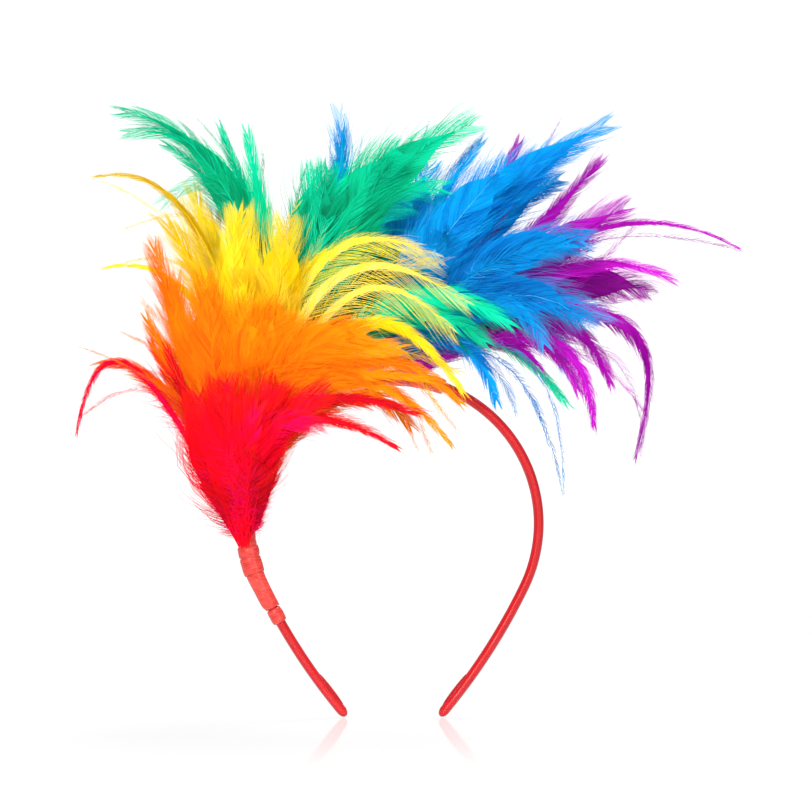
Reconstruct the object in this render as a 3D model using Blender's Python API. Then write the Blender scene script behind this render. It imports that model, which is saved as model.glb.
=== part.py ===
"""Feather headband: a satin-covered hair band with six dyed feather plumes, from red to purple.

Metres, +Z up, +X to the right as seen from the front, and the front faces -Y. The origin is on the
band's inner face at the crown, where it sits on the head.
"""

import math

import bmesh
import bpy
from mathutils import Vector

# The band: an elastic hoop under satin, a round arc over the crown and two straighter legs
HEAD_WIDTH = 0.1213
BAND_THICKNESS = 0.0043
BAND_DEPTH = 0.0065
CROWN_SWEEP = 115.8
LEG_LENGTH = 0.0668
LEG_RADIUS = 0.264
BAND_TIP_LENGTH = 0.0035
BAND_TIP_TURNS = (40, 70, 88)

# The lap of satin that closes each end on its inner face
LAP_LENGTH = 0.017
LAP_WIDTH = 0.0042
LAP_THICKNESS = 0.0011
LAP_FROM_TIP = 0.0045
LAP_STATIONS = (0.12, 0.35, 0.60, 0.85)

# The ribbon sheath that carries the plumes, and its padded lower end on the left leg
SHEATH_WALL = 0.0009
SHEATH_LOW_END = 0.1372
SHEATH_CROWN_END = 0.0225
PAD_LENGTH = 0.040
PAD_SWELL = 0.0012
PAD_SIDE_SWELL = 0.3
CUFF_LENGTH = 0.0066
CUFF_WALL = 0.0007

# The ribbon turns that bind the feather stems at the lower end
TURN_WIDTHS = (0.0074, 0.0044)
TURN_WALL = 0.0006
TURN_LOW_EDGE = 0.1206

# The rolled section of a turn: shares of its width and of its wall
TURN_COLUMNS = ("along", "wall")
TURN_PROFILE = (
    (0.0, 0.60),
    (0.1, 1.00),
    (0.5, 1.15),
    (0.9, 1.00),
    (1.0, 0.60),
)

# The plumes: a saddle on the sheath and feather locks fused to it
SADDLE_WALL = 0.0022
SADDLE_LENGTH = 0.0115
SADDLE_BELOW_SEAT = 0.2
SADDLE_WRAP = 112.0
SADDLE_SIDES = 10
PLUME_REACH = 0.150
PLUME_DEPTH = 0.033
LOCK_BREADTH = 0.0210
LOCK_THICKNESS = 0.0022
LOCK_RISE = 0.045
TIP_FLARE = 0.028
FLARE_START = 0.4
LEAST_FACE_TURN = 50.0
FACE_TURN_END = 0.3

FIT_GAP = 0.0003

# The lens-shaped rise of a lap: shares of its half width and of its thickness
LAP_SECTION_COLUMNS = ("across", "rise")
LAP_SECTION = (
    (-1.0, 0.00),
    (-0.6, 0.75),
    (0.0, 1.00),
    (0.6, 0.75),
    (1.0, 0.00),
)

# A lock's outline: shares of its length, of its full breadth there and of its full thickness there
LOCK_OUTLINE_COLUMNS = ("along", "breadth", "thickness")
LOCK_OUTLINE = (
    (0.00, 0.20, 0.60),
    (0.12, 0.42, 0.90),
    (0.28, 0.80, 1.00),
    (0.45, 1.00, 1.00),
    (0.62, 1.00, 0.90),
    (0.78, 0.80, 0.75),
    (0.91, 0.45, 0.50),
)

# Where the pad swells: share of the pad's length from its low end, share of the full swell
PAD_COLUMNS = ("along", "swell")
PAD_PROFILE = (
    (0.00, -0.45),
    (0.03, 0.15),
    (0.08, 0.50),
    (0.25, 0.60),
    (0.42, 1.00),
    (0.75, 1.00),
    (1.00, 0.00),
)

# A lock's row, in shares. middle and tip: where its middle passes and where it ends, across and up
# from its plume's seat, of PLUME_REACH. depth: of its plume's layer, minus to the front. flare: how
# far its tip turns outwards, of TIP_FLARE. breadth: of LOCK_BREADTH.
LOCK_COLUMNS = ("middle across", "middle up", "tip across", "tip up", "depth", "flare", "breadth")

RED_LOCKS = (
    (-0.355, 0.47, -0.49, 0.305, -0.25, 0, 0.5),
    (-0.13, 0.315, -0.24, 0.62, -0.95, 0.1, 0.75),
    (-0.165, 0.315, -0.295, 0.57, 0.8, 0.1, 0.6),
    (-0.075, 0.225, -0.105, 0.445, -0.9, 0.1, 1),
    (-0.015, 0.225, -0.025, 0.435, -1, 0.3, 1.1),
    (0.04, 0.225, 0.07, 0.435, -0.95, 0.2, 1),
    (0.095, 0.275, 0.21, 0.435, -1, 0.1, 0.85),
    (0.235, 0.395, 0.5, 0.365, -1, 0, 0.6),
    (0.21, 0.355, 0.445, 0.28, -0.9, 0.2, 0.5),
    (-0.105, 0.215, -0.165, 0.405, 0.85, 0.2, 0.9),
    (-0.035, 0.235, -0.06, 0.46, 1, 0.3, 1.1),
    (0.03, 0.23, 0.055, 0.455, 1, 0.3, 1),
    (0.165, 0.35, 0.34, 0.38, 0.95, 0.1, 0.75),
)

ORANGE_LOCKS = (
    (-0.165, 0.385, -0.27, 0.715, -0.6, 0, 0.8),
    (-0.16, 0.325, -0.25, 0.595, 0.55, 0, 0.7),
    (-0.26, 0.31, -0.435, 0.37, -0.2, 0, 0.55),
    (-0.185, 0.285, -0.3, 0.505, 0.2, 0, 0.6),
    (-0.08, 0.31, -0.12, 0.6, -0.95, 0.2, 1.05),
    (-0.005, 0.295, 0, 0.585, -1, 0.2, 1.1),
    (0.06, 0.29, 0.115, 0.555, -0.95, 0.2, 1.05),
    (0.13, 0.33, 0.285, 0.505, -1, 0, 1),
    (0.33, 0.37, 0.61, 0.255, -1, 0, 0.6),
    (0.33, 0.31, 0.585, 0.135, -0.9, 0.2, 0.5),
    (-0.03, 0.295, -0.055, 0.58, 1, 0.3, 1.1),
    (0.045, 0.295, 0.1, 0.555, 1, 0.3, 1.05),
    (0.245, 0.27, 0.465, 0.18, 0.95, 0, 0.6),
)

YELLOW_LOCKS = (
    (-0.205, 0.635, -0.505, 0.775, -0.25, 0, 0.5),
    (-0.225, 0.435, -0.485, 0.515, 0.3, 0, 0.42),
    (-0.14, 0.375, -0.285, 0.65, -0.6, 0, 0.75),
    (-0.12, 0.415, -0.22, 0.75, 0.6, 0, 0.9),
    (-0.05, 0.355, -0.08, 0.68, -0.95, 0.3, 1.05),
    (0.025, 0.34, 0.06, 0.65, -1, 0.3, 1.05),
    (0.2, 0.57, 0.5, 0.545, -1, 0.3, 0.9),
    (0.24, 0.515, 0.575, 0.415, -0.9, 0.5, 0.9),
    (0.27, 0.34, 0.565, 0.155, -1, 0, 0.6),
    (-0.03, 0.355, -0.035, 0.685, 1, 0.3, 1.1),
    (0.165, 0.47, 0.41, 0.555, 1, 0.2, 0.95),
    (0.22, 0.31, 0.465, 0.3, 0.95, 0, 0.7),
)

GREEN_LOCKS = (
    (-0.21, 0.64, -0.515, 0.86, -0.3, 0, 0.8),
    (-0.19, 0.535, -0.39, 0.77, 0.3, 0, 0.6),
    (-0.08, 0.42, -0.145, 0.805, -0.6, 0.2, 0.65),
    (-0.105, 0.45, -0.235, 0.83, 0.6, 0.2, 0.5),
    (0.15, 0.535, 0.505, 0.82, -0.95, 0.4, 1.1),
    (0.11, 0.495, 0.29, 0.75, -1, 0.6, 1.15),
    (0.025, 0.38, 0.09, 0.7, -0.9, 0.5, 1),
    (0.145, 0.41, 0.375, 0.61, 0.95, 0.4, 1.05),
    (0.29, 0.315, 0.61, 0.245, -1, 0.1, 0.6),
    (0.275, 0.27, 0.54, 0.195, -0.9, 0, 0.6),
    (0.405, 0.25, 0.78, 0.01, 0.9, 0.1, 0.45),
    (0.01, 0.38, 0.04, 0.71, 1, 0.6, 1),
)

BLUE_LOCKS = (
    (-0.005, 0.405, -0.005, 0.77, 0.6, 0.3, 0.7),
    (0.205, 0.42, 0.4, 0.705, -0.6, 0.4, 0.6),
    (0.365, 0.475, 0.755, 0.75, -0.8, 0.3, 1),
    (0.265, 0.395, 0.47, 0.635, -1, 0.7, 1.15),
    (0.395, 0.335, 0.695, 0.415, -1, 0.5, 1.05),
    (0.405, 0.25, 0.685, 0.19, -1, 0.6, 0.95),
    (0.4, 0.28, 0.645, 0.06, 1, 0.3, 0.8),
    (0.42, 0.095, 0.63, -0.32, -0.9, 0, 0.4),
    (0.28, 0.15, 0.44, -0.045, -1, 0, 0.5),
    (0.13, 0.35, 0.25, 0.645, 1, 0.6, 1.1),
    (0.35, 0.32, 0.62, 0.395, 1, 0.6, 1.05),
    (0.38, 0.42, 0.63, 0.6, 1, 0.4, 0.85),
)

PURPLE_LOCKS = (
    (0.525, 0.415, 0.99, 0.36, 0.3, 0, 0.5),
    (0.355, 0.31, 0.645, 0.49, -0.8, 0.3, 0.95),
    (0.33, 0.355, 0.585, 0.635, 0.9, 0.3, 0.5),
    (0.185, 0.38, 0.345, 0.685, 0.6, 0.3, 0.6),
    (0.445, 0.3, 0.785, 0.275, -0.6, 0.2, 0.55),
    (0.425, 0.245, 0.73, 0.24, 0.9, 0.9, 0.9),
    (0.61, 0.175, 0.665, -0.245, -0.5, 0.2, 0.65),
    (0.445, 0.195, 0.715, 0.06, 1, 0.6, 0.8),
    (0.405, 0.115, 0.55, -0.145, -1, 0.5, 0.55),
    (0.33, 0.125, 0.51, -0.04, 0.6, 0, 0.7),
    (0.23, 0.115, 0.39, 0.035, -0.9, 0, 0.6),
    (0.405, 0.165, 0.61, -0.03, 0.85, 0.3, 0.75),
)

# seat: distance from the crown along the band, to the left. layer: the share of PLUME_DEPTH.
PLUME_COLUMNS = ("name", "seat", "layer", "colour", "locks")
PLUMES = (
    ("red_plume", 0.1058, 1.00, (0.90, 0.01, 0.05), RED_LOCKS),
    ("orange_plume", 0.0855, 0.82, (1.00, 0.27, 0.00), ORANGE_LOCKS),
    ("yellow_plume", 0.0647, 0.64, (1.00, 0.68, 0.00), YELLOW_LOCKS),
    ("green_plume", 0.0438, 0.46, (0.00, 0.62, 0.30), GREEN_LOCKS),
    ("blue_plume", 0.0219, 0.29, (0.00, 0.30, 0.90), BLUE_LOCKS),
    ("purple_plume", -0.0033, 0.13, (0.50, 0.00, 0.55), PURPLE_LOCKS),
)

SATIN_RED = (0.80, 0.03, 0.04)
RIBBON_RED = (0.72, 0.04, 0.04)
SATIN_ROUGHNESS = 0.4
FEATHER_ROUGHNESS = 0.8

CROWN_RADIUS = (HEAD_WIDTH + BAND_THICKNESS) / 2
CROWN_ARC = CROWN_RADIUS * math.radians(CROWN_SWEEP)
BAND_HALF_LENGTH = CROWN_ARC + LEG_LENGTH
SECTION_SIDES = 12
STATION_STEP = 0.0070
RUN_STEP = 0.01  # share of a lock's length over which its direction is read


def smooth(share):
    """An even ramp from 0 to 1 with flat ends."""
    share = min(max(share, 0.0), 1.0)
    return share * share * (3 - 2 * share)


def spread(first, last, steps):
    """Evenly spaced values from first to last, both included."""
    return [first + (last - first) * i / steps for i in range(steps + 1)]


def reading(rows, at, column):
    """The value of a table's column at a share of the first column, joined by straight lines."""
    for low, high in zip(rows, rows[1:]):
        if at <= high[0]:
            share = (at - low[0]) / (high[0] - low[0])
            return low[column] + (high[column] - low[column]) * max(share, 0.0)
    return rows[-1][column]


def outward(angle):
    """The band's outward direction at an angle from straight up, to the left."""
    return Vector((-math.sin(angle), 0, math.cos(angle)))


def band_station(distance):
    """The band's centre and outward direction at a distance from the crown, plus to the left."""
    side = 1 if distance >= 0 else -1
    length = abs(distance)
    crown_centre = Vector((0, 0, -HEAD_WIDTH / 2))
    if length <= CROWN_ARC:
        angle = length / CROWN_RADIUS
        centre = crown_centre + outward(angle) * CROWN_RADIUS
    else:
        start = math.radians(CROWN_SWEEP)
        angle = start + (length - CROWN_ARC) / LEG_RADIUS
        leg_centre = crown_centre + outward(start) * (CROWN_RADIUS - LEG_RADIUS)
        centre = leg_centre + outward(angle) * LEG_RADIUS
    normal = outward(angle)
    if side < 0:
        centre.x = -centre.x
        normal.x = -normal.x
    return centre, normal


def oval(distance, half_thickness, half_depth, offset=0.0, angles=None):
    """Points round the band at a station: an oval, shifted outwards by the offset."""
    centre, normal = band_station(distance)
    if angles is None:
        angles = [2 * math.pi * i / SECTION_SIDES for i in range(SECTION_SIDES)]
    return [
        centre
        + normal * (offset + half_thickness * math.cos(a))
        + Vector((0, half_depth * math.sin(a), 0))
        for a in angles
    ]


def new_piece(name, points, faces):
    """A named object in the headband's collection, closed and facing outwards."""
    mesh = bpy.data.meshes.new(name)
    mesh.from_pydata([tuple(p) for p in points], [], faces)
    cage = bmesh.new()
    cage.from_mesh(mesh)
    bmesh.ops.triangulate(cage, faces=cage.faces)
    bmesh.ops.recalc_face_normals(cage, faces=cage.faces)
    cage.to_mesh(mesh)
    cage.free()
    piece = bpy.data.objects.new(name, mesh)
    bpy.data.collections["feather_headband"].objects.link(piece)
    return piece


def dye(piece, colour, roughness):
    """Gives a piece its own material."""
    material = bpy.data.materials.new(piece.name)
    material.use_nodes = True
    shader = material.node_tree.nodes["Principled BSDF"]
    shader.inputs["Base Color"].default_value = (*colour, 1)
    shader.inputs["Roughness"].default_value = roughness
    shader.inputs["Metallic"].default_value = 0
    piece.data.materials.append(material)


def satin_piece(name, shape, colour):
    """A rounded piece of satin, shaded smooth."""
    piece = new_piece(name, *shape)
    piece.data.shade_smooth()
    dye(piece, colour, SATIN_ROUGHNESS)


def loft(sections, first_point=None, last_point=None):
    """Points and faces of a solid through closed sections, ended flat or in a point."""
    sides = len(sections[0])
    points = [p for section in sections for p in section]
    faces = []
    for row in range(len(sections) - 1):
        low = row * sides
        for i in range(sides):
            j = (i + 1) % sides
            faces.append((low + i, low + j, low + sides + j, low + sides + i))
    last = (len(sections) - 1) * sides
    for start, apex in ((0, first_point), (last, last_point)):
        rim = [start + i for i in range(sides)]
        if apex is None:
            faces.append(tuple(rim))
        else:
            points.append(apex)
            faces += [(rim[i], rim[(i + 1) % sides], len(points) - 1) for i in range(sides)]
    return points, faces


def walled_loft(outer, inner, closed):
    """Points and faces of a wall between outer and inner sections, a ring or an open arch."""
    count = len(outer[0])
    rows = len(outer)
    points = [p for section in outer + inner for p in section]
    inside = rows * count
    faces = []
    for row in range(rows - 1):
        for i in range(count if closed else count - 1):
            j = (i + 1) % count
            a, b = row * count + i, row * count + j
            faces.append((a, b, b + count, a + count))
            faces.append((inside + a, inside + b, inside + b + count, inside + a + count))
        if not closed:
            for edge in (row * count, row * count + count - 1):
                faces.append((edge, edge + count, inside + edge + count, inside + edge))
    for row in (0, rows - 1):
        for i in range(count if closed else count - 1):
            j = (i + 1) % count
            a, b = row * count + i, row * count + j
            faces.append((a, b, inside + b, inside + a))
    return points, faces


def poly_curve(name, rows, closed):
    """A curve object through rows of a point and the size of its bevel there."""
    curve = bpy.data.curves.new(name, "CURVE")
    curve.dimensions = "3D"
    spline = curve.splines.new("POLY")
    spline.points.add(len(rows) - 1)
    for target, (point, size) in zip(spline.points, rows):
        target.co = (*point, 1)
        target.radius = size
    spline.use_cyclic_u = closed
    guide = bpy.data.objects.new(name, curve)
    guide.hide_render = True
    guide.display_type = "WIRE"
    bpy.data.collections["guides"].objects.link(guide)
    return guide


def make_band():
    """The whole satin-covered hoop: an oval section swept from tip to tip, with rounded ends."""
    turns = [2 * math.pi * i / SECTION_SIDES for i in range(SECTION_SIDES)]
    half_depth, half_thickness = BAND_DEPTH / 2, BAND_THICKNESS / 2
    oval_rows = [((half_depth * math.cos(a), half_thickness * math.sin(a), 0), 1) for a in turns]
    section = poly_curve("band_section", oval_rows, True)
    body = BAND_HALF_LENGTH - BAND_TIP_LENGTH
    stations = [(d, 1.0) for d in spread(-body, body, 2 * round(body / STATION_STEP))]
    for turn in BAND_TIP_TURNS:
        share = math.radians(turn)
        reach = body + BAND_TIP_LENGTH * math.sin(share)
        stations.insert(0, (-reach, math.cos(share)))
        stations.append((reach, math.cos(share)))
    route = poly_curve("band_route", [(band_station(d)[0], size) for d, size in stations], False)
    route.data.bevel_mode = "OBJECT"
    route.data.bevel_object = section
    route.data.use_fill_caps = True
    graph = bpy.context.evaluated_depsgraph_get()
    mesh = bpy.data.meshes.new_from_object(route.evaluated_get(graph))
    cage = bmesh.new()
    cage.from_mesh(mesh)
    bmesh.ops.remove_doubles(cage, verts=cage.verts, dist=1e-6)
    cage.verts.ensure_lookup_table()
    points = [vert.co.copy() for vert in cage.verts]
    faces = [[vert.index for vert in face.verts] for face in cage.faces]
    cage.free()
    bpy.data.meshes.remove(mesh)
    bpy.data.objects.remove(route)
    bpy.data.objects.remove(section)
    satin_piece("band", (points, faces), SATIN_RED)


def make_end_lap(name, side):
    """The lens-shaped lap of satin on the inner face near one tip."""
    far = BAND_HALF_LENGTH - LAP_FROM_TIP
    sections = []
    for share in LAP_STATIONS:
        distance = side * (far - LAP_LENGTH * (1 - share))
        centre, normal = band_station(distance)
        size = math.sqrt(math.sin(math.pi * share))
        foot = centre - normal * (BAND_THICKNESS / 2 + FIT_GAP)
        section = []
        for across, rise in LAP_SECTION:
            drop = LAP_THICKNESS * rise * size
            reach = LAP_WIDTH / 2 * across * size
            section.append(foot - normal * drop + Vector((0, reach, 0)))
        sections.append(section)
    ends = []
    for share in (0.0, 1.0):
        centre, normal = band_station(side * (far - LAP_LENGTH * (1 - share)))
        ends.append(centre - normal * (BAND_THICKNESS / 2 + FIT_GAP))
    satin_piece(name, loft(sections, *ends), SATIN_RED)


def pad_swell(distance):
    """How far the sheath swells outwards at a distance from the crown."""
    along = (SHEATH_LOW_END - distance) / PAD_LENGTH
    if along > 1:
        return 0.0
    return PAD_SWELL * reading(PAD_PROFILE, along, 1)


def sheath_oval(distance, extra=0.0, angles=None):
    """The sheath's outer section at a station, grown by an extra amount."""
    swell = pad_swell(distance)
    half_thickness = BAND_THICKNESS / 2 + FIT_GAP + SHEATH_WALL + swell / 2 + extra
    half_depth = BAND_DEPTH / 2 + FIT_GAP + SHEATH_WALL + swell * PAD_SIDE_SWELL + extra
    return oval(distance, half_thickness, half_depth, swell / 2, angles)


def band_hole(distance):
    """The hole that the band passes through, at a station."""
    return oval(distance, BAND_THICKNESS / 2 + FIT_GAP, BAND_DEPTH / 2 + FIT_GAP)


def make_sheath():
    """The ribbon sheath round the band, from the padded low end over the crown."""
    lip = [SHEATH_LOW_END - PAD_LENGTH * row[0] for row in PAD_PROFILE[:3]]
    steps = round((lip[-1] + SHEATH_CROWN_END) / STATION_STEP)
    stations = lip[:-1] + spread(lip[-1], -SHEATH_CROWN_END, steps)
    outer = [sheath_oval(d) for d in stations]
    inner = [band_hole(d) for d in stations]
    satin_piece("ribbon_sheath", walled_loft(outer, inner, True), RIBBON_RED)


def make_cuff():
    """The thin ribbon end that shows on the band below the pad."""
    start = SHEATH_LOW_END + FIT_GAP
    stations = spread(start, start + CUFF_LENGTH, 2)
    size = FIT_GAP + CUFF_WALL
    outer = [oval(d, BAND_THICKNESS / 2 + size, BAND_DEPTH / 2 + size) for d in stations]
    inner = [band_hole(d) for d in stations]
    satin_piece("ribbon_cuff", walled_loft(outer, inner, True), RIBBON_RED)


def make_turn(number):
    """One turn of the binding ribbon round the pad, with rolled edges."""
    low = TURN_LOW_EDGE - sum(width + FIT_GAP for width in TURN_WIDTHS[:number])
    stations = [(low - TURN_WIDTHS[number] * along, wall) for along, wall in TURN_PROFILE]
    outer = [sheath_oval(d, FIT_GAP + TURN_WALL * wall) for d, wall in stations]
    inner = [sheath_oval(d, FIT_GAP) for d, wall in stations]
    satin_piece(f"binding_turn_{number + 1}", walled_loft(outer, inner, True), RIBBON_RED)


def make_saddle(name, seat):
    """The arch of bound stems that a plume grows from, on the sheath's front, back and crest."""
    wrap = math.radians(SADDLE_WRAP)
    angles = spread(-wrap, wrap, SADDLE_SIDES)
    low = seat + SADDLE_LENGTH * SADDLE_BELOW_SEAT
    stations = spread(low, low - SADDLE_LENGTH, 2)
    outer = [sheath_oval(d, FIT_GAP + SADDLE_WALL, angles) for d in stations]
    inner = [sheath_oval(d, FIT_GAP, angles) for d in stations]
    return new_piece(name, *walled_loft(outer, inner, False))


def lock_root(seat, depth):
    """Where a lock leaves its saddle: in mid wall, from the front through the crest to the back."""
    turn = math.radians(90 * depth)
    return sheath_oval(seat, FIT_GAP + SADDLE_WALL / 2, [turn])[0]


def lock_path(seat, layer, row):
    """A function from a share of the lock's length to its point, and one to its face direction."""
    depth, flare = row[4:6]
    root = lock_root(seat, depth)
    base = band_station(seat)[0]
    middle = base + Vector((row[0], 0, row[1])) * PLUME_REACH
    tip = base + Vector((row[2], 0, row[3])) * PLUME_REACH
    foot = Vector((root.x, 0, root.z))
    bend = middle * 2 - (foot + tip) / 2
    length = (middle - foot).length + (tip - middle).length
    side = -1 if depth < 0 else 1

    def place(s):
        flat = foot * (1 - s) ** 2 + bend * (2 * s * (1 - s)) + tip * s**2
        risen = smooth(s * length / LOCK_RISE)
        tip_turn = TIP_FLARE * flare * side * max((s - FLARE_START) / (1 - FLARE_START), 0.0) ** 2
        flat.y = root.y + (PLUME_DEPTH * layer * depth - root.y) * risen + tip_turn
        return flat

    def face(s):
        run = place(min(s + RUN_STEP, 1.0)) - place(max(s - RUN_STEP, 0.0))
        in_plane = Vector((-run.z, 0, run.x)).normalized()
        turn = 90 * depth
        wanted = side * max(abs(turn), LEAST_FACE_TURN)
        turn = math.radians(turn + (wanted - turn) * smooth(s / FACE_TURN_END))
        normal = in_plane * math.cos(turn) + Vector((0, math.sin(turn), 0))
        run.normalize()
        normal = (normal - run * normal.dot(run)).normalized()
        return normal, run.cross(normal)

    return place, face


def lock_sections(place, face, breadth):
    """The lens sections of one lock and the two points that end it."""
    sections = []
    for along, wide, thick in LOCK_OUTLINE:
        normal, broad = face(along)
        half_width = broad * (LOCK_BREADTH * breadth * wide / 2)
        half_thickness = normal * (LOCK_THICKNESS * thick / 2)
        middle = place(along)
        sections.append(
            [middle + half_width, middle + half_thickness, middle - half_width, middle - half_thickness]
        )
    return sections, None, place(1.0)


def fuse(target, other):
    """Joins another solid into the target for good, and removes it."""
    modifier = target.modifiers.new("fuse", "BOOLEAN")
    modifier.operation = "UNION"
    modifier.solver = "EXACT"
    modifier.use_self = True
    modifier.object = other
    graph = bpy.context.evaluated_depsgraph_get()
    joined = bpy.data.meshes.new_from_object(target.evaluated_get(graph))
    target.modifiers.clear()
    old = target.data
    target.data = joined
    joined.name = target.name
    bpy.data.meshes.remove(old)
    bpy.data.objects.remove(other)


def fill_pockets(piece):
    """Fills the small pockets shut in between crossing locks: only the largest shell stays."""
    cage = bmesh.new()
    cage.from_mesh(piece.data)
    unseen = set(cage.faces)
    shells = []
    while unseen:
        shell = {unseen.pop()}
        front = list(shell)
        while front:
            for edge in front.pop().edges:
                for face in edge.link_faces:
                    if face in unseen:
                        unseen.remove(face)
                        shell.add(face)
                        front.append(face)
        shells.append(shell)
    shells.sort(key=len)
    for shell in shells[:-1]:
        bmesh.ops.delete(cage, geom=list(shell), context="FACES")
    cage.to_mesh(piece.data)
    cage.free()


def make_plume(name, seat, layer, colour, locks):
    """One plume: its saddle with every lock of its table fused on."""
    plume = make_saddle(name, seat)
    for row in locks:
        place, face = lock_path(seat, layer, row)
        fuse(plume, new_piece("lock", *loft(*lock_sections(place, face, row[6]))))
    fill_pockets(plume)
    dye(plume, colour, FEATHER_ROUGHNESS)


def main():
    for old in list(bpy.data.objects):
        bpy.data.objects.remove(old)
    for name in ("feather_headband", "guides"):
        collection = bpy.data.collections.new(name)
        bpy.context.scene.collection.children.link(collection)
    make_band()
    make_end_lap("left_end_lap", 1)
    make_end_lap("right_end_lap", -1)
    make_sheath()
    make_cuff()
    for number in range(len(TURN_WIDTHS)):
        make_turn(number)
    for plume in PLUMES:
        make_plume(*plume)


main()
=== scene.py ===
import math

import bpy
import numpy as np
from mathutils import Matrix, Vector


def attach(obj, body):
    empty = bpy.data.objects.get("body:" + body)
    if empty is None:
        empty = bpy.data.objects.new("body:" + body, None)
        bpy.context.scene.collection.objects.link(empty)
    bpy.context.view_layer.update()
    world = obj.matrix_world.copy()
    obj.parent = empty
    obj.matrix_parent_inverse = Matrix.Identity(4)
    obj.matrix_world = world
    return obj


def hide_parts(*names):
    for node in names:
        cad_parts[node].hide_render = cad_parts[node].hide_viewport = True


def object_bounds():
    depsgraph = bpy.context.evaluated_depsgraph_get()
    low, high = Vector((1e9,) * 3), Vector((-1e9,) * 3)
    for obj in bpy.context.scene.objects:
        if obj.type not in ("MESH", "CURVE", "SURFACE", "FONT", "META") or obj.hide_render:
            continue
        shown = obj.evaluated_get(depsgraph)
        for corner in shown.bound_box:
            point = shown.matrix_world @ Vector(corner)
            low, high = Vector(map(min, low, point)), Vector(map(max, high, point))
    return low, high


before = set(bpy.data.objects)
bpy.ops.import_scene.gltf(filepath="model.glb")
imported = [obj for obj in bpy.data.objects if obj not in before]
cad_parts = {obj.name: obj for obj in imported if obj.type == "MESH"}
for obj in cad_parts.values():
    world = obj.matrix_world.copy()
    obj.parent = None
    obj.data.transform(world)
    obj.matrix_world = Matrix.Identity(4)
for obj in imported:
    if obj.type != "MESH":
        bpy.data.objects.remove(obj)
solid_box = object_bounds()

# The hoop
# A springy hair band under a tube of red satin, open at the bottom. The satin is drawn over the
# band, turned in at both tips and held there by a stitched lap on the inner face.


class Signal:
    """A value that runs through a material's nodes. Sums written with it add their Math nodes."""

    def __init__(self, tree, socket):
        self.tree = tree
        self.socket = socket

    def add(self, kind, settings, inputs, output=0):
        """One more node: its settings first, then the values and links of its sockets."""
        node = self.tree.nodes.new("ShaderNode" + kind)
        for name, value in settings.items():
            if name == "stops":
                while len(node.color_ramp.elements) < len(value):
                    node.color_ramp.elements.new(0.5)
                for element, (place, colour) in zip(node.color_ramp.elements, value):
                    element.position = place
                    element.color = (*colour, 1)
            else:
                setattr(node, name, value)
        for name, value in inputs.items():
            if isinstance(value, Signal):
                self.tree.links.new(value.socket, node.inputs[name])
            else:
                node.inputs[name].default_value = value
        return Signal(self.tree, node.outputs[output])

    def maths(self, operation, *values):
        return self.add("Math", {"operation": operation}, dict(enumerate(values)))

    def __add__(self, other):
        return self.maths("ADD", self, other)

    def __radd__(self, other):
        return self.maths("ADD", other, self)

    def __sub__(self, other):
        return self.maths("SUBTRACT", self, other)

    def __rsub__(self, other):
        return self.maths("SUBTRACT", other, self)

    def __mul__(self, other):
        return self.maths("MULTIPLY", self, other)

    def __rmul__(self, other):
        return self.maths("MULTIPLY", other, self)

    def __pow__(self, other):
        return self.maths("POWER", self, other)

    def between(self, low, high):
        """The first colour where this value is 0 and the second where it is 1."""
        ends = [end if isinstance(end, Signal) else (*end, 1) for end in (low, high)]
        settings = {"data_type": "RGBA", "clamp_factor": True}
        return self.add("Mix", settings, {0: self, 6: ends[0], 7: ends[1]}, 2)


def finish(name, **constants):
    """A new material with its constants set, its shader as a signal, and what feeds it."""
    material = bpy.data.materials.new(name)
    material.use_nodes = True
    tree = material.node_tree
    shader = tree.nodes["Principled BSDF"]
    for socket, value in constants.items():
        shader.inputs[socket.replace("_", " ")].default_value = value

    def feed(socket, signal):
        fed = tree.nodes["Material Output"] if socket == "Surface" else shader
        tree.links.new(signal.socket, fed.inputs[socket])

    return material, Signal(tree, shader.outputs[0]), feed


def mesh_places(surface):
    """The two colour places that a mesh carries, as signals from 0 to 1."""
    place = surface.add("UVMap", {"uv_map": "OFBake"}, {})
    return [surface.add("SeparateXYZ", {}, {0: place}, axis) for axis in (0, 1)]


FLAT_NOISE = {"noise_dimensions": "2D"}
SATIN_GLOSS = 0.38
SATIN_ROUGHNESS = 0.26
FLOAT_ROUGHNESS = 0.20
PATCH_SCALE = 0.13
RIB_SLANT = 3.0
RIB_SHARE = 0.4
SATIN_RELIEF = 0.0002
# The darkest painted shade at a sleeve's ends and sides, as a share of its deep colour.
EDGE_SHADE = 0.28
END_SHARPNESS = 9
SIDE_SHARPNESS = 3


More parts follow.
